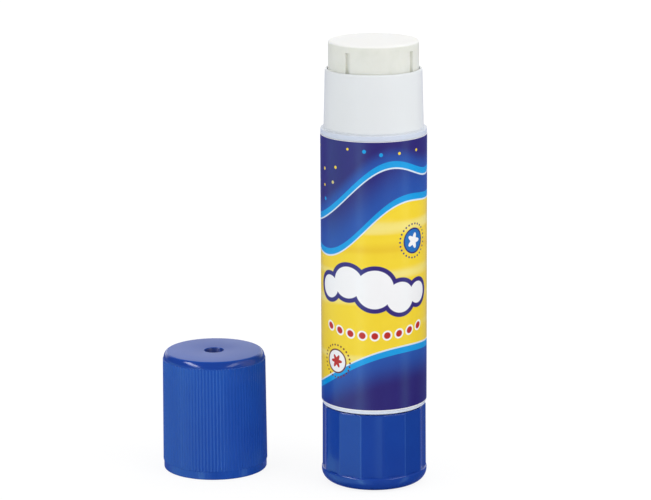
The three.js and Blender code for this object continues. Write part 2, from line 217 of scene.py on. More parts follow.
class Surface:
    # a material, or the world, whose nodes are written as calls
    def __init__(self, owner):
        self.owner = owner
        owner.use_nodes = True
        self.tree = owner.node_tree
        self.tree.nodes.clear()

    def node(self, kind, settings=None, inputs=None, output=0):
        made = self.tree.nodes.new(kind)
        for name, value in (settings or {}).items():
            setattr(made, name, value)
        for name, value in (inputs or {}).items():
            self.plug(made.inputs[name], value)
        return Signal(self, made.outputs[output]) if made.outputs else made

    def plug(self, socket, value):
        if isinstance(value, Signal):
            self.tree.links.new(value.socket, socket)
        else:
            socket.default_value = value

    def maths(self, operation, *values, clamp=False):
        settings = {"operation": operation, "use_clamp": clamp}
        return self.node("ShaderNodeMath", settings, dict(enumerate(values)))

    def outputs(self, kind, source):
        # every output of a node with one input
        made = self.tree.nodes.new(kind)
        self.plug(made.inputs[0], source)
        return [Signal(self, socket) for socket in made.outputs]

    def rays(self):
        # 1 for a ray straight from the camera or through glass, and 1 for a reflected ray
        path = self.tree.nodes.new("ShaderNodeLightPath").outputs
        names = ("Is Camera Ray", "Is Transmission Ray", "Is Glossy Ray")
        camera, through, glossy = [Signal(self, path[name]) for name in names]
        return self.maths("MAXIMUM", camera, through), glossy

    def objectPlace(self):
        # the place on the piece, as a vector in metres and as three numbers in millimetres
        place = self.node("ShaderNodeTexCoord", output="Object")
        return place, [part * (1 / mm) for part in self.outputs("ShaderNodeSeparateXYZ", place)]

    def vector(self, x, y, z):
        return self.node("ShaderNodeCombineXYZ", None, {"X": x, "Y": y, "Z": z})

    def noise(self, vector, scale, detail=2.0, roughness=0.5):
        inputs = {"Vector": vector, "Scale": scale, "Detail": detail, "Roughness": roughness}
        return self.node("ShaderNodeTexNoise", None, inputs, "Fac")

    def ease(self, value, low, high):
        # 0 at low, 1 at high, smooth between
        inputs = {"Value": value, "From Min": low, "From Max": high}
        return self.node("ShaderNodeMapRange", {"interpolation_type": "SMOOTHSTEP"}, inputs)

    def within(self, distance, soft=0.12):
        # 1 where the distance is below 0
        return self.maths("ADD", distance * (-1 / soft), 0.5, clamp=True)

    def blend(self, share, under, over):
        # a Mix node has sockets for every kind of value: 6, 7 and 2 are its colours
        made = self.tree.nodes.new("ShaderNodeMix")
        made.data_type = "RGBA"
        self.plug(made.inputs[0], share)
        self.plug(made.inputs[6], under)
        self.plug(made.inputs[7], over)
        return Signal(self, made.outputs[2])

    def bump(self, height, depth):
        # depth is the height of a full step, in millimetres
        inputs = {"Height": height, "Strength": 1.0, "Distance": depth * mm}
        return self.node("ShaderNodeBump", None, inputs)

    def finish(self, inputs):
        shader = self.node("ShaderNodeBsdfPrincipled", None, inputs)
        self.node("ShaderNodeOutputMaterial", None, {"Surface": shader})
        return self.owner


def newSurface(name):
    return Surface(bpy.data.materials.new(name))


def give(piece, material):
    piece.data.materials.clear()
    piece.data.materials.append(material)


def lightInside(look):
    # the share of light that goes into the material, its reach for each colour, and its depth
    share, reach, depth = look["inside"]
    return {"Subsurface Weight": share, "Subsurface Radius": reach, "Subsurface Scale": depth * mm}


# In the looks below, clouds and grains are the fineness of two noises, grain is the height of
# the fine one, swing is how much the roughness varies, and an ease is where a change starts and ends.

mouldedWhite = {
    "color": (231, 234, 236), "shade": (225, 228, 231),
    # rim is painted shade: a darker, bluer tint for the rim band below the collar
    "rim": (209, 217, 232), "foot": (227, 235, 250), "footHeight": 1.0,
    "roughness": 0.42, "swing": 0.1, "specular": 0.3,
    "clouds": 90, "grains": 2600, "grain": 0.004,
    "inside": (0.08, (1.0, 0.9, 0.85), 0.6),
}


def whitePlastic():
    look = mouldedWhite
    plastic = newSurface("whitePlastic")
    place, (_, _, z) = plastic.objectPlace()
    cloud = plastic.noise(place, look["clouds"], 3)
    grain = plastic.noise(place, look["grains"], 2, 0.6)
    ink = plastic.blend(cloud, linear(look["color"]), linear(look["shade"]))
    onFoot = plastic.within(z - barrelSize["foot"] - look["footHeight"])
    ink = plastic.blend(onFoot, ink, linear(look["foot"]))
    rimMiddle = (barrelSize["shoulder"] + barrelSize["rimFoot"]) / 2
    rimHalf = (barrelSize["shoulder"] - barrelSize["rimFoot"]) / 2
    # painted shade: the rim band is tinted darker and bluer than the rest of the white plastic
    rimShade = plastic.within(plastic.maths("ABSOLUTE", z - rimMiddle) - rimHalf)
    return plastic.finish({
        "Base Color": plastic.blend(rimShade, ink, linear(look["rim"])),
        "Roughness": look["roughness"] + (cloud - 0.5) * look["swing"],
        "Specular IOR Level": look["specular"],
        "Normal": plastic.bump(grain, look["grain"]),
    } | lightInside(look))


mouldedBlue = {
    "cap": {"color": (32, 82, 179), "deep": (28, 75, 171)},
    "knob": {"color": (28, 70, 163), "deep": (25, 64, 156)},
    # shoulder and recess are painted shade: darker tints for the cap's shoulder and its crown recess
    "shoulder": (23, 64, 157), "recess": (17, 52, 136),
    "roughness": 0.17, "swing": 0.12, "satin": 0.4,
    "clouds": 70, "cloudEase": (0.3, 0.7), "grains": 2200, "grain": 0.002,
}


def bluePlastic(name):
    look = mouldedBlue | mouldedBlue[name]
    plastic = newSurface(name + "Blue")
    place, (x, y, z) = plastic.objectPlace()
    cloud = plastic.noise(place, look["clouds"], 3)
    grain = plastic.noise(place, look["grains"], 3, 0.6)
    deeper = plastic.ease(cloud, *look["cloudEase"])
    ink = plastic.blend(deeper, linear(look["color"]), linear(look["deep"]))
    roughness = look["roughness"] + (cloud - 0.5) * look["swing"]
    if name == "cap":
        # the polished shoulder is painted a little darker, as painted shade, and the recess is painted
        # darker, as painted shade in the hollow; the flat crown with its recess, where the moulding gate
        # was, is satin
        across = x - capSize["x"]
        along = y - capSize["y"]
        reach = plastic.maths("SQRT", across * across + along * along)
        foot, top, hair = capSize["ribTop"], capSize["height"], 0.02
        shoulderShade = plastic.ease(z, foot - 0.1, foot + 0.2) * plastic.ease(z, top - hair, top - 0.25)
        onCrown = plastic.ease(z, top - 4 * hair, top - hair)
        inRecess = plastic.within(reach - capSize["dimple"] - hair, 2 * hair)
        # painted shade: the shoulder and the recess are painted darker
        ink = plastic.blend(shoulderShade, ink, linear(look["shoulder"]))
        ink = plastic.blend(inRecess, ink, linear(look["recess"]))
        satin = plastic.maths("MAXIMUM", inRecess, onCrown)
        roughness = roughness + satin * (look["satin"] - look["roughness"])
    return plastic.finish({
        "Base Color": ink,
        "Roughness": roughness,
        "Normal": plastic.bump(grain, look["grain"]),
    })


mouldedNatural = {
    "color": (228, 226, 217), "shade": (216, 214, 203),
    "roughness": 0.46, "swing": 0.1,
    "clouds": 120, "grains": 2000, "grain": 0.006,
    "inside": (0.15, (1.0, 0.9, 0.8), 0.8),
}


def naturalPlastic():
    look = mouldedNatural
    plastic = newSurface("naturalPlastic")
    place, _ = plastic.objectPlace()
    cloud = plastic.noise(place, look["clouds"], 3)
    grain = plastic.noise(place, look["grains"], 2, 0.6)
    return plastic.finish({
        "Base Color": plastic.blend(cloud, linear(look["color"]), linear(look["shade"])),
        "Roughness": look["roughness"] + (cloud - 0.5) * look["swing"],
        "Normal": plastic.bump(grain, look["grain"]),
    } | lightInside(look))


# Barrel

barrelSize = {
    "steps": 192,
    "bushFoot": 13.1, "bushBore": 3.1, "bushRadius": 4.2,
    "foot": 16.2, "floorTop": 17.5, "radius": 10.38,
    "neckFoot": 6.0, "neckBore": 7.88, "neckRadius": 8.98, "neckTaper": 0.4, "neckRise": 0.6,
    "grooveFoot": 8.4, "grooveTop": 9.5, "grooveRadius": 8.68,
    "rimFoot": 71.3, "rimRadius": 10.52, "shoulder": 72.3,
    "undercut": 0.12, "undercutFoot": 0.1, "undercutTop": 0.35,
    "collarBase": 9.9, "collarTop": 9.6, "mouth": 84.15, "bore": 9.1,
    "keys": 4, "keyAngle": -35.5, "keyWidth": 0.8, "keySide": 0.05, "keyTip": 8.55,
    "keyGap": 0.3, "keyTop": 82.05,
}


def barrelTube():
    size = barrelSize
    mesh = profile([
        (size["bushBore"], size["bushFoot"], 0.1),
        (size["bushRadius"], size["bushFoot"], 0.15),
        (size["bushRadius"], size["foot"], 0),
        (size["neckBore"], size["foot"], 0),
        (size["neckBore"], size["neckFoot"], 0.1),
        (size["neckRadius"] - size["neckTaper"], size["neckFoot"], 0.1),
        (size["neckRadius"], size["neckFoot"] + size["neckRise"], 0.1),
        (size["neckRadius"], size["grooveFoot"], 0.05),
        (size["grooveRadius"], size["grooveFoot"], 0.05),
        (size["grooveRadius"], size["grooveTop"], 0.05),
        (size["neckRadius"], size["grooveTop"], 0.05),
        (size["neckRadius"], size["foot"], 0),
        (size["radius"], size["foot"], 0.15),
        (size["radius"], size["rimFoot"], 0),
        (size["rimRadius"], size["rimFoot"], 0.05),
        (size["rimRadius"], size["shoulder"], 0.12),
        (size["collarBase"] - size["undercut"], size["shoulder"], 0.03),
        (size["collarBase"] - size["undercut"], size["shoulder"] + size["undercutFoot"], 0.03),
        (size["collarBase"], size["shoulder"] + size["undercutTop"], 0.1),
        (size["collarTop"], size["mouth"], 0.35),
        (size["bore"], size["mouth"], 0.1),
        (size["bore"], size["floorTop"], 0.25),
        (size["bushBore"], size["floorTop"], 0.1),
    ], closed=True)
    spinRound(mesh, size["steps"])
    radialStrips(
        mesh, size["keys"], size["keyAngle"], size["keyWidth"] / 2 - size["keySide"], size["keySide"],
        size["floorTop"] + size["keyGap"], size["keyTop"], size["bore"], size["keyTip"],
    )
    return finishPiece(mesh, "barrelTube", sharpAbove=38)


print("barrel: tube, collar, neck and keys")
barrelPiece = barrelTube()
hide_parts("barrel")
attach(barrelPiece, "barrel")
give(barrelPiece, whitePlastic())


# Knob

knobSize = {
    "columnsPerFlute": 16, "flutes": 14, "firstRidge": -80.1, "ridge": 10.53, "fluteDepth": 0.42,
    "land": 0.92, "height": 15.9, "draft": 0.07, "flangeRadius": 10.61, "flangeTop": 2.95,
    "flangeEdge": 0.35, "baseEdge": 2.4, "baseRise": 2.3,
    "padRadius": 3.6, "recess": 0.5, "footWidth": 1.1,
    "bore": 9.18, "leadIn": 0.3, "beadRadius": 8.83, "beadLow": 8.55, "beadHigh": 9.35, "beadSlope": 0.2,
    "floor": 1.6, "bossRadius": 4.41, "bossTop": 10.6, "socket": 3.21,
    "webs": 7, "webWidth": 0.9, "webTop": 4.2, "webSunk": 0.3,
}


def fluteRadius(angle):
    # the shallow curve from one ridge to the next, measured from a ridge
    size = knobSize
    half = math.pi / size["flutes"]
    ridge = size["ridge"]
    control = 2 * (ridge - size["fluteDepth"]) - ridge * math.cos(half)
    away = (angle % (2 * half)) - half

    def across(share):
        return (ridge * math.cos(half) * (1 + share * share) + control * (1 - share * share)) / 2

    share = away / half
    for _ in range(5):  # settles in five rounds
        share = math.tan(away) * across(share) / (ridge * math.sin(half))
    share = max(-size["land"], min(size["land"], share))
    return math.hypot(across(share), ridge * math.sin(half) * share)


def knobGrip():
    size = knobSize
    footOuter = size["flangeRadius"] - size["baseEdge"]
    footInner = footOuter - size["footWidth"]
    hair = 0.001  # lifts the flutes' foot off the ledge
    edge = [
        (footOuter + size["baseEdge"] * math.sin(angle), size["baseRise"] * (1 - math.cos(angle)), 0)
        for angle in quarterTurn(12)
    ]
    ledge = [
        (
            size["flangeRadius"] - size["flangeEdge"] * (1 - math.cos(angle)),
            size["flangeTop"] - size["flangeEdge"] * (1 - math.sin(angle)), 0,
        )
        for angle in quarterTurn(6)
    ]
    mesh = profile([
        (0, 0, 0),
        (size["padRadius"], 0, 0.15),
        (size["padRadius"], size["recess"], 0.1),
        (footInner, size["recess"], 0.1),
        (footInner, 0, 0.15),
        *edge,
        *ledge,
        (size["ridge"], size["flangeTop"] + hair, 0),
        (size["ridge"] - size["draft"], size["height"], 0.22),
        (size["bore"] + size["leadIn"], size["height"], 0.1),
        (size["bore"], size["height"] - size["leadIn"], 0.1),
        (size["bore"], size["beadHigh"] + size["beadSlope"], 0),
        (size["beadRadius"], size["beadHigh"], 0.05),
        (size["beadRadius"], size["beadLow"], 0.05),
        (size["bore"], size["beadLow"] - size["beadSlope"], 0),
        (size["bore"], size["floor"], 0.3),
        (size["bossRadius"], size["floor"], 0.2),
        (size["bossRadius"], size["bossTop"], 0.15),
        (size["socket"], size["bossTop"], 0.1),
        (size["socket"], size["floor"], 0),
        (0, size["floor"], 0),
    ])
    spinRound(mesh, size["columnsPerFlute"] * size["flutes"])
    for vert in mesh.verts:
        height = vert.co.z / mm
        radius = radiusOf(vert)
        if height < size["flangeTop"] - size["flangeEdge"] or radius < size["bore"] + 2 * size["leadIn"]:
            continue
        flute = fluteRadius(angleOf(vert))
        if height > size["flangeTop"] + hair / 2:
            setRadius(vert, radius - size["ridge"] + flute)
        elif radius < flute:
            setRadius(vert, flute)
    bmesh.ops.remove_doubles(mesh, verts=mesh.verts[:], dist=0.002 * mm)
    bmesh.ops.recalc_face_normals(mesh, faces=mesh.faces[:])
    turn(mesh, size["firstRidge"])
    webs = bars(
        size["webs"], 0, size["bossRadius"] - size["webSunk"], size["bore"] + size["webSunk"],
        size["webWidth"], size["floor"] - size["webSunk"], size["webTop"],
    )
    mesh = joinOrCut(mesh, webs, "UNION")
    return finishPiece(mesh, "knobGrip", sharpAbove=32)


print("knob: flutes, flange, foot ring and snap bead")
knobPiece = knobGrip()
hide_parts("knob")
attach(knobPiece, "knob")
give(knobPiece, bluePlastic("knob"))


# Glue

glueSize = {
    "steps": 160, "top": 89.9, "radius": 8.95, "edge": 0.4,
    # the crown's rise, and points on it as shares of the radius and of the rise
    "crown": 0.22, "crownCurve": [(0.8, 0.35), (0.55, 0.75), (0.28, 0.93)], "crownSoft": 0.6,
    "foot": 27.42, "plugRadius": 8.13, "cupRim": 30.62,
    "hubRadius": 3.97, "nutTop": 29.62, "coreRadius": 2.8, "coreTop": 87.3,
    "grooves": 4, "grooveAngle": -35.5, "grooveWidth": 1.1, "grooveSide": 0.12,
    "grooveRadius": 8.4, "grooveFoot": 30.72, "grooveTop": 88.17,
    "slots": 4, "slotWidth": 1.04, "slotInner": 3.23, "slotOuter": 7.47, "slotTop": 32.02,
}


def glueColumn():
    size = glueSize
    edgeHeight = size["top"] - size["crown"]
    crown = [
        (size["radius"] * out, edgeHeight + size["crown"] * rise, size["crownSoft"])
        for out, rise in size["crownCurve"]
    ]
    mesh = profile([
        (size["hubRadius"], size["foot"], 0),
        (size["plugRadius"], size["foot"], 0.1),
        (size["plugRadius"], size["cupRim"], 0),
        (size["radius"], size["cupRim"], 0.1),
        (size["radius"], edgeHeight, size["edge"]),
        *crown,
        (0, size["top"], 0),
        (0, size["coreTop"], 0),
        (size["coreRadius"], size["coreTop"], 0.1),
        (size["coreRadius"], size["nutTop"], 0),
        (size["hubRadius"], size["nutTop"], 0),
        (size["hubRadius"], size["foot"], 0),
    ])
    spinRound(mesh, size["steps"])
    radialStrips(
        mesh, size["grooves"], size["grooveAngle"], size["grooveWidth"] / 2 - size["grooveSide"],
        size["grooveSide"], size["grooveFoot"], size["grooveTop"], size["radius"], size["grooveRadius"],
    )
    slots = bars(
        size["slots"], size["grooveAngle"] + 45, size["slotInner"], size["slotOuter"], size["slotWidth"],
        size["foot"] - 1, size["slotTop"],
    )
    mesh = joinOrCut(mesh, slots, "DIFFERENCE")
    return finishPiece(mesh, "glueColumn", sharpAbove=40)


castGlue = {
    # top is painted light: a lighter tint for the glue's top face
    "color": (229, 230, 223), "shade": (222, 224, 215), "top": (244, 244, 242),
    "roughness": 0.5, "swing": 0.2,
    "mottles": 260, "mottleEase": (0.35, 0.75), "topEase": (-0.7, -0.3),
    "lumps": 700, "lump": 0.015, "drags": 1.4, "dragShare": 1.2, "stretch": 0.08,
    "inside": (0.3, (1.0, 0.95, 0.8), 1.5),
}


def glueMass():
    look = castGlue
    glue = newSurface("glueMass")
    place, (x, y, z) = glue.objectPlace()
    mottle = glue.noise(place, look["mottles"], 4, 0.6)
    # drag marks from the bore, drawn out along the column
    drag = glue.noise(glue.vector(x, y, z * look["stretch"]), look["drags"], 3, 0.6)
    lumps = glue.noise(place, look["lumps"], 3, 0.55)
    # painted light: the top face is painted lighter, and the same mask keeps the drag marks off it
    onTop = glue.ease(z - glueSize["top"], *look["topEase"])
    shaded = glue.ease(mottle, *look["mottleEase"])
    ink = glue.blend(shaded, linear(look["color"]), linear(look["shade"]))
    return glue.finish({
        "Base Color": glue.blend(onTop, ink, linear(look["top"])),
        "Roughness": look["roughness"] + (mottle - 0.5) * look["swing"],
        "Normal": glue.bump(lumps + drag * (1 - onTop) * look["dragShare"], look["lump"]),
    } | lightInside(look))


print("glue: column with key grooves")
gluePiece = glueColumn()
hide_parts("glue")
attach(gluePiece, "glue")
give(gluePiece, glueMass())


# Cap

capSize = {
    "x": -32.5, "y": 9.1, "height": 24.5,
    "ribs": 96, "columnsPerRib": 6, "ribDepth": 0.12, "ribBreadth": 1.6,
    "ribFoot": 1.7, "ribTop": 23.05, "ribRunOut": 0.12,
    "baseRadius": 10.67, "draft": 0.2, "bandStep": 0.02, "lip": 0.25, "shoulderInset": 1.0,
    "mouth": 10.02, "leadIn": 0.12, "seat": 9.72, "seatHeight": 12.15,
    "bore": 9.1, "boreDraft": 0.25, "boreCorner": 0.8, "inside": 23.2,
    "dimple": 1.95, "dimpleDepth": 2.6, "dimpleDraft": 0.15, "dimpleWall": 1.1,
    "dimpleFlare": 0.12, "dimpleFlareDepth": 0.2,
}


def capShell():
    size = capSize
    valley = size["baseRadius"] - size["ribDepth"]
    band = valley - size["bandStep"]
    shoulder = band - size["draft"]
    flat = shoulder - size["shoulderInset"]
    ribRise = size["height"] - size["ribTop"]
    dimpleFoot = size["height"] - size["dimpleDepth"]
    cupRadius = size["dimple"] + size["dimpleWall"]
    cupFoot = dimpleFoot - size["dimpleWall"]
    boreTop = size["bore"] - size["boreDraft"]
    curve = [
        (flat + size["shoulderInset"] * math.cos(angle), size["ribTop"] + ribRise * math.sin(angle), 0)
        for angle in quarterTurn(9)[1:]
    ]
    mesh = profile([
        (0, dimpleFoot, 0),
        (size["dimple"] - size["dimpleDraft"], dimpleFoot, 0.2),
        (size["dimple"], size["height"] - size["dimpleFlareDepth"], 0),
        (size["dimple"] + size["dimpleFlare"], size["height"], 0.08),
        *reversed(curve),
        (shoulder, size["ribTop"], 0),
        (shoulder, size["ribTop"] - size["ribRunOut"], 0),
        (band, size["ribFoot"] + size["ribRunOut"], 0),
        (band, size["ribFoot"], 0),
        (band, 0, size["lip"]),
        (size["mouth"] + size["leadIn"], 0, 0.04),
        (size["mouth"], 3 * size["leadIn"], 0),
        (size["seat"], size["seatHeight"], 0.1),
        (size["bore"], size["seatHeight"], 0.1),
        (boreTop, size["inside"] - size["boreCorner"], 0),
        (boreTop - size["boreCorner"], size["inside"], 0.3),
        (cupRadius, size["inside"], 0.2),
        (cupRadius, cupFoot, 0.2),
        (0, cupFoot, 0),
    ])
    spinRound(mesh, size["ribs"] * size["columnsPerRib"])
    ribStep = fullTurn / size["ribs"]
    rise = size["ribTop"] - size["ribFoot"]
    for vert in mesh.verts:
        height = vert.co.z / mm
        ribbed = size["ribFoot"] + 0.01 < height < size["ribTop"] - 0.01
        if ribbed and radiusOf(vert) > shoulder - 0.02:
            share = (angleOf(vert) % ribStep) / ribStep
            crest = min(1, size["ribBreadth"] * math.sin(math.pi * share) ** 2)
            taper = size["draft"] * (height - size["ribFoot"]) / rise
            setRadius(vert, valley - taper + size["ribDepth"] * crest)
    bmesh.ops.translate(mesh, verts=mesh.verts[:], vec=(size["x"] * mm, size["y"] * mm, 0))
    return finishPiece(mesh, "capShell", sharpAbove=34)


print("cap: ribbed shell with a recess in its crown")
capPiece = capShell()
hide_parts("cap")
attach(capPiece, "cap")
give(capPiece, bluePlastic("cap"))


# Label

labelSize = {
    "steps": 192, "inner": 10.43, "outer": 10.58, "foot": 16.9, "head": 71.2,
    "thickness": 0.15, "lapStart": 112.0, "lapEnd": 126.2, "ramp": 0.5, "edge": 0.03,
}


def labelSheet():
    size = labelSize
    mesh = profile([
        (size["inner"], size["foot"], 0),
        (size["outer"], size["foot"], size["edge"]),
        (size["outer"], size["head"], size["edge"]),
        (size["inner"], size["head"], 0),
    ], closed=True)
    spinRound(mesh, size["steps"])
    # over its start the film rises in a short ramp, and its free end drops in a sharp edge
    rampAngle = math.degrees(size["ramp"] / size["outer"])
    edgeAngle = math.degrees(size["edge"] / size["outer"])
    cuts = (size["lapStart"], size["lapStart"] + rampAngle, size["lapEnd"], size["lapEnd"] + edgeAngle)
    for degrees in cuts:
        direction = math.radians(degrees)
        cutAlong(mesh, (0, 0, 0), (-math.sin(direction), math.cos(direction), 0))
    for vert in mesh.verts:
        degrees = math.degrees(angleOf(vert))
        radius = radiusOf(vert)
        if radius > size["outer"] - 0.1 and size["lapStart"] < degrees < size["lapEnd"] + 0.01:
            rise = min(1, (degrees - size["lapStart"]) / rampAngle)
            setRadius(vert, radius + size["thickness"] * rise)
    return finishPiece(mesh, "labelSheet", sharpAbove=35)


labelPrint = {
    "yellow": (251, 219, 44), "gold": (243, 203, 34), "cream": (251, 233, 132),
    "violet": (47, 37, 120), "blue": (36, 84, 176), "cyan": (0, 160, 232), "sky": (24, 112, 196),
    "pale": (226, 238, 250), "white": (250, 250, 252), "outline": (56, 40, 128),
    "red": (196, 36, 30), "maroon": (112, 32, 40), "rule": (160, 196, 237),
    "bandAcross": 0.012, "bandUp": 0.17, "goldEase": (0.42, 0.3), "creamEase": (0.52, 0.62),
    # the swooshes: an edge's height, and the count, phase and swing of each wave on it
    "topEdge": 36.5, "topWaves": [(1, 0.15, 6.5), (3, 0.6, 1.4)], "topFade": 11,
    "secondRise": 7.5, "secondWaves": [(2, 2.3, 2.6)], "secondFade": 5,
    "bottomEdge": 9.5, "bottomWaves": [(1, 0.3, 4.6), (2, 1.9, 1.2)], "bottomFade": 8,
    "fadeFrom": 1.5, "stripe": 1.55, "hairline": 0.3,
    # confetti: dotShare of the cells have a dot, dotInset keeps it off their sides, dotGap off the edge
    "dotCell": 3.6, "dotInset": 0.3, "dotRadius": 0.25, "dotGrowth": 0.3,
    "dotShare": 0.55, "yellowShare": 0.25, "dotGap": 2.9,
    # the puff's rounds: arc, height and radius
    "puffs": [
        (-10.2, 24.6, 2.3), (-5.6, 26.0, 3.2), (0.0, 24.8, 3.9), (5.4, 23.0, 3.1), (9.8, 23.4, 2.2),
    ],
    "outlineWidth": 0.9,
    "beadRow": 15.4, "beadCurve": 0.012, "beadStep": 2.5, "beadRadius": 0.68, "beadBorder": 0.34,
    "beadReach": 11.2,
    # badges: arc, height, radius, fill, rim, number of petals, their colour and size
    "badges": [
        (8.6, 34.0, 2.6, "sky", "violet", 5, "white", 1.25),
        (-8.4, 9.6, 2.5, "white", "maroon", 6, "red", 1.1),
        (21.5, 21.5, 3.6, "sky", "violet", 5, "yellow", 1.8),
        (-19.5, 18.5, 3.2, "red", "maroon", 7, "white", 1.5),
    ],
    "badgeRim": 0.3, "petalDepth": 0.3, "spots": 26, "spotGap": 0.8, "spotRadius": 0.2,
    "sheetArc": 31, "sheetUp": 27, "sheetTilt": 5, "sheetHalfWidth": 5.6, "sheetHalfHeight": 9.2,
    "sheetOutline": 0.35, "ruleStep": 2.1, "ruleWidth": 0.1, "ruleInset": 0.8,
    "margin": 3.6, "marginWidth": 0.12,
    "footBorder": 0.22, "headBorder": 0.06,
    "roughness": 0.3, "swing": 0.1, "ripples": 110, "ripple": 0.02,
}


def printedFilm():
    look = labelPrint
    size = labelSize
    film = newSurface("printedFilm")
    place, (x, y, z) = film.objectPlace()
    hard = 0.02  # the softness of an edge that has to be sharp

    # arc runs from the lap's free edge right round, 0 at the front, and up from the label's foot
    turned = math.radians(size["lapEnd"] - 90)
    sine = x * math.cos(turned) + y * math.sin(turned)
    cosine = x * math.sin(turned) - y * math.cos(turned)
    angle = film.maths("ARCTAN2", sine, cosine) + turned
    arc = angle * size["outer"]
    up = z - size["foot"]

    def wavy(height, waves):
        for count, phase, swing in waves:
            height = height + film.maths("SINE", angle * count + phase) * swing
        return height

    def length(across, along):
        return film.maths("SQRT", across * across + along * along)

    def magnitude(value):
        return film.maths("ABSOLUTE", value)

    def offStep(value, step):
        # the distance, with its sign, to the nearest multiple of the step
        return value - film.maths("ROUND", value / step) * step

    def printOn(under, share, colorName):
        return film.blend(share, under, linear(look[colorName]))

    def swoosh(under, depth, fade):
        # depth is how far inside the printed area a point lies
        deep = film.ease(depth, look["fadeFrom"], fade)
        tone = film.blend(deep, linear(look["blue"]), linear(look["violet"]))
        tone = printOn(tone, film.within(depth - look["stripe"]), "cyan")
        tone = printOn(tone, film.within(depth - look["hairline"]), "pale")
        return film.blend(film.within(-depth), under, tone)

    def badge(under, atArc, atUp, radius, fill, rim, petals, petalColor, petalSize):
        # a round badge in a ring of small dots, with a petalled shape on it
        across = arc - atArc
        along = up - atUp
        reach = length(across, along)
        heading = film.maths("ARCTAN2", along, across)
        ringRadius = radius + look["spotGap"]
        spotArc = offStep(heading, fullTurn / look["spots"]) * ringRadius
        ring = length(spotArc, reach - ringRadius) - look["spotRadius"]
        petal = film.maths("SINE", heading * petals + math.pi / 2) * petalSize * look["petalDepth"]
        made = printOn(under, film.within(ring), rim)
        made = printOn(made, film.within(reach - radius), rim)
        made = printOn(made, film.within(reach - radius + look["badgeRim"]), fill)
        return printOn(made, film.within(reach - petalSize - petal), petalColor)

    # ground: yellow with soft level bands
    bands = film.noise(film.vector(arc * look["bandAcross"], up * look["bandUp"], 0.0), 1.0, 2, 0.4)
    golden = film.ease(bands, *look["goldEase"])
    ink = film.blend(golden, linear(look["yellow"]), linear(look["gold"]))
    ink = printOn(ink, film.ease(bands, *look["creamEase"]), "cream")

    # two swooshes across the top and one across the foot
    topEdge = wavy(look["topEdge"], look["topWaves"])
    secondEdge = wavy(topEdge + look["secondRise"], look["secondWaves"])
    bottomEdge = wavy(look["bottomEdge"], look["bottomWaves"])
    ink = swoosh(ink, up - topEdge, look["topFade"])
    ink = swoosh(ink, up - secondEdge, look["secondFade"])
    ink = swoosh(ink, bottomEdge - up, look["bottomFade"])

    # confetti above the second edge, each dot whole
    cell = look["dotCell"]
    column = film.maths("FLOOR", arc / cell)
    row = film.maths("FLOOR", up / cell)
    corner = {"Vector": film.vector(column, row, 0.0)}
    chance = film.node("ShaderNodeTexWhiteNoise", {"noise_dimensions": "2D"}, corner, "Color")
    shiftX, shiftY, kind = film.outputs("ShaderNodeSeparateColor", chance)
    inset = look["dotInset"]
    localX = arc - (column + inset + shiftX * (1 - 2 * inset)) * cell
    localY = up - (row + inset + shiftY * (1 - 2 * inset)) * cell
    dot = length(localX, localY) - look["dotRadius"] - kind * look["dotGrowth"]
    below = secondEdge + look["dotGap"] - (up - localY)
    chosen = film.within(kind - look["dotShare"], hard) * film.within(below, hard)
    isYellow = film.within(kind - look["yellowShare"], hard)
    tint = film.blend(isYellow, linear(look["cyan"]), linear(look["yellow"]))
    ink = film.blend(film.within(dot) * chosen, ink, tint)

    # a white puff with a dark outline, made of overlapping rounds
    puff = None
    for atArc, atUp, radius in look["puffs"]:
        away = length(arc - atArc, up - atUp) - radius
        puff = away if puff is None else film.maths("MINIMUM", puff, away)
    ink = printOn(ink, film.within(puff - look["outlineWidth"]), "outline")
    ink = printOn(ink, film.within(puff), "white")

    # a curved row of beads
    beadY = up - look["beadRow"] - arc * arc * look["beadCurve"]
    bead = length(offStep(arc, look["beadStep"]), beadY) - look["beadRadius"]
    inRow = film.within(magnitude(arc) - look["beadReach"], 0.05)
    ink = printOn(ink, film.within(bead - look["beadBorder"]) * inRow, "white")
    ink = printOn(ink, film.within(bead) * inRow, "red")

    for values in look["badges"]:
        ink = badge(ink, *values)

    # a sheet of ruled paper at the back
    tilt = math.radians(look["sheetTilt"])
    aside = arc - look["sheetArc"]
    rise = up - look["sheetUp"]
    sheetX = aside * math.cos(tilt) + rise * math.sin(tilt)
    sheetY = rise * math.cos(tilt) - aside * math.sin(tilt)
    outX = magnitude(sheetX) - look["sheetHalfWidth"]
    outY = magnitude(sheetY) - look["sheetHalfHeight"]
    border = film.maths("MAXIMUM", outX, outY)
    rule = magnitude(offStep(sheetY, look["ruleStep"])) - look["ruleWidth"]
    margin = magnitude(sheetX + look["margin"]) - look["marginWidth"]
    ink = printOn(ink, film.within(border - look["sheetOutline"]), "outline")
    ink = printOn(ink, film.within(border), "white")
    ink = printOn(ink, film.within(rule) * film.within(border + look["ruleInset"]), "rule")
    ink = printOn(ink, film.within(margin) * film.within(border), "red")

    # the film's bare edges at its foot and head
    headEdge = size["head"] - size["foot"] - look["headBorder"]
    bare = film.maths("MINIMUM", up - look["footBorder"], headEdge - up)
    ink = printOn(ink, film.within(bare, 0.06), "white")

    ripple = film.noise(place, look["ripples"], 2)
    return film.finish({
        "Base Color": ink,
        "Roughness": look["roughness"] + (ripple - 0.5) * look["swing"],
        "Normal": film.bump(ripple, look["ripple"]),
    })


print("label: printed sheet with its lap")
labelPiece = labelSheet()
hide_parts("label")
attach(labelPiece, "barrel")
give(labelPiece, printedFilm())


print("screw and carrier: undyed plastic")
undyed = naturalPlastic()
for name in ("spindle", "carrier"):
    give(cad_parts[name], undyed)


# Studio

# nearShare is how much of the floor under the object is plain white, and the rest takes its shadow
floorLook = {
    "radius": 900.0, "middle": -14.0, "color": (238, 238, 238),
    "white": 1.06, "nearShare": 0.82, "fadeFrom": 60.0, "fadeTo": 190.0,
    "card": (62, 62, 62), "cardFrom": 6.0, "cardTo": 26.0, "cardReach": 75.0, "cardFade": 20.0,
}


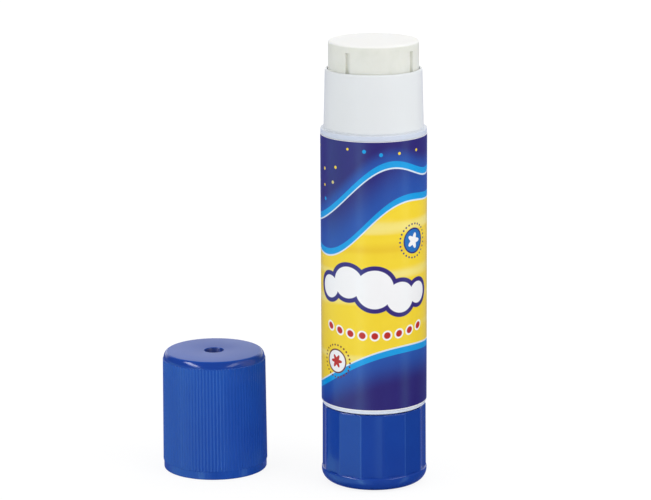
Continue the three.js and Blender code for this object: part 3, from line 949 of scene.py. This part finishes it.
def floorDisc():
    mesh = bmesh.new()
    bmesh.ops.create_circle(mesh, cap_ends=True, segments=96, radius=floorLook["radius"] * mm)
    data = bpy.data.meshes.new("floorDisc")
    mesh.to_mesh(data)
    mesh.free()
    piece = bpy.data.objects.new("floorDisc", data)
    bpy.context.scene.collection.objects.link(piece)
    return piece


def floorPaper():
    # white to the camera but for the object's shadow, darker to the stick's right for soft light,
    # and clear to reflections, which show the studio below the horizon instead
    look = floorLook
    paper = newSurface("floorPaper")
    _, (x, y, _) = paper.objectPlace()
    across = x - look["middle"]
    reach = paper.maths("SQRT", across * across + y * y)
    direct, glossy = paper.rays()
    far = paper.ease(reach, look["fadeFrom"], look["fadeTo"])
    share = (look["nearShare"] + far * (1 - look["nearShare"])) * direct
    near = 1 - paper.ease(reach, look["cardReach"], look["cardReach"] + look["cardFade"])
    card = paper.ease(x, look["cardFrom"], look["cardTo"]) * near * (1 - direct)
    color = paper.blend(card, linear(look["color"]), linear(look["card"]))
    lit = paper.node("ShaderNodeBsdfDiffuse", None, {"Color": color})
    white = paper.node("ShaderNodeEmission", None, {"Color": (1, 1, 1, 1), "Strength": look["white"]})
    clear = paper.node("ShaderNodeBsdfTransparent")
    seen = paper.node("ShaderNodeMixShader", None, {0: share, 1: lit, 2: white})
    mixed = paper.node("ShaderNodeMixShader", None, {0: glossy, 1: seen, 2: clear})
    paper.node("ShaderNodeOutputMaterial", None, {"Surface": mixed})
    return paper.owner


lamps = {
    "aim": (-16.0, 0.0, 30.0), "along": (0, 0.83, 0.56),
    "key": {"power": 0.36, "width": 50.0, "length": 600.0, "place": (-330.0, -208.0, 278.0)},
    "fill": {"power": 0.68, "width": 150.0, "length": 600.0, "place": (300.0, -205.0, 278.0)},
}


def lampAxes(name):
    # across the lamp, along it, and the direction from the aim to it
    away = (Vector(lamps[name]["place"]) - Vector(lamps["aim"])).normalized()
    along = Vector(lamps["along"])
    along = (along - along.dot(away) * away).normalized()
    return along.cross(away), along, away


def softbox(name):
    lamp = lamps[name]
    light = bpy.data.lights.new(name, "AREA")
    light.shape = "RECTANGLE"
    light.size = lamp["width"] * mm
    light.size_y = lamp["length"] * mm
    light.energy = lamp["power"]
    piece = bpy.data.objects.new(name, light)
    bpy.context.scene.collection.objects.link(piece)
    piece.location = Vector(lamp["place"]) * mm
    piece.rotation_euler = Matrix(lampAxes(name)).transposed().to_euler()


skyLook = {
    "ambient": 0.75, "ambientBack": 1.05,
    # what reflections show above the horizon
    "highFront": 0.06, "highBack": 1.25,
    "glow": 8.0, "glowLow": 0.4, "glowWidth": 0.11, "glowReach": 0.86, "glowSoft": 0.06, "glowEnd": 0.04,
    # and below it, where a streak is its middle and half width in degrees and its strength
    "lowLeft": 0.8, "lowRight": 0.03, "lowBack": 0.3,
    "lowTint": (178, 249, 255), "backTint": (150, 166, 255),
    "streaks": [
        (-170, 7, 0.35), (-31, 6, 1.6), (-14, 5, 0.35), (28, 8, 0.12), (71, 8, 1.0), (164, 7, 0.25),
    ],
    "streakSoft": 0.5,
    # where each part sets in and is full, on a direction's parts from -1 to 1
    "leftEase": (-0.08, -0.75), "backEase": (0.2, 0.8), "deepEase": (-0.9, -0.5),
    "highEase": (0.6, 0.9), "glowEase": (0.2, 0.5), "ambientEase": (0.2, 0.9), "horizon": (-0.02, 0.02),
}


def studioWorld():
    look = skyLook
    world = bpy.data.worlds.new("studio")
    bpy.context.scene.world = world
    sky = Surface(world)
    direct, glossy = sky.rays()
    direction = sky.node("ShaderNodeTexCoord", output="Generated")
    toRight, toBack, upward = sky.outputs("ShaderNodeSeparateXYZ", direction)

    def change(start, end, share):
        return start + share * (end - start)

    # below the horizon a bright left with soft streaks
    level = sky.maths("SQRT", toRight * toRight + toBack * toBack)
    around = sky.maths("ARCTAN2", toRight, -toBack) * (180 / math.pi)
    leftward = sky.ease(toRight / level, *look["leftEase"])
    backward = sky.ease(toBack / level, *look["backEase"])
    low = change(look["lowRight"], look["lowLeft"], leftward)
    low = change(low, look["lowBack"], backward)
    for middle, halfWidth, strength in look["streaks"]:
        away = sky.maths("ABSOLUTE", around - middle)
        soft = halfWidth * look["streakSoft"]
        low = low + (1 - sky.ease(away, halfWidth - soft, halfWidth + soft)) * strength
    low = low * sky.ease(upward, *look["deepEase"])
    tint = sky.blend(backward, linear(look["lowTint"]), linear(look["backTint"]))

    # above it a bright back, and the key lamp's diffuser, wider than the lamp and dimmer low down
    side, _, away = lampAxes("key")
    offset = sky.maths("ABSOLUTE", toRight * side.x + toBack * side.y + upward * side.z)
    ahead = toRight * away.x + toBack * away.y + upward * away.z
    strip = sky.within(offset - look["glowWidth"], look["glowSoft"])
    strip = strip * sky.within(look["glowReach"] - ahead, look["glowEnd"])
    strip = strip * change(look["glowLow"], 1, sky.ease(upward, *look["glowEase"]))
    high = change(look["highFront"], look["highBack"], sky.ease(toBack, *look["highEase"]))
    high = high + strip * look["glow"]

    # soft light is plain, only a little stronger from behind, and the camera sees white
    above = sky.ease(upward, *look["horizon"])
    ambient = change(look["ambient"], look["ambientBack"], sky.ease(toBack, *look["ambientEase"]))
    strength = change(ambient, change(low, high, above), glossy)
    strength = change(strength, 1, direct)
    color = sky.blend(glossy * (1 - above), (1, 1, 1, 1), tint)
    background = sky.node("ShaderNodeBackground", None, {"Color": color, "Strength": strength})
    sky.node("ShaderNodeOutputWorld", None, {"Surface": background})


print("studio: floor, lamps and camera")
floorPiece = floorDisc()
give(floorPiece, floorPaper())
studioWorld()
softbox("key")
softbox("fill")

view = {
    "lens": 166.4, "sensor": 36, "place": (-8.93, -584.4, 182.3), "tilt": 77.0, "roll": 0.3,
    "nearest": 10.0, "farthest": 10000.0,
}
camera = bpy.data.cameras.new("camera")
camera.lens = view["lens"]
camera.sensor_width = view["sensor"]
camera.clip_start = view["nearest"] * mm
camera.clip_end = view["farthest"] * mm
cameraPiece = bpy.data.objects.new("camera", camera)
bpy.context.scene.collection.objects.link(cameraPiece)
cameraPiece.location = Vector(view["place"]) * mm
cameraPiece.rotation_euler = (math.radians(view["tilt"]), math.radians(view["roll"]), 0)
bpy.context.scene.camera = cameraPiece
bpy.context.scene.view_settings.view_transform = "Standard"

bpy.context.view_layer.update()
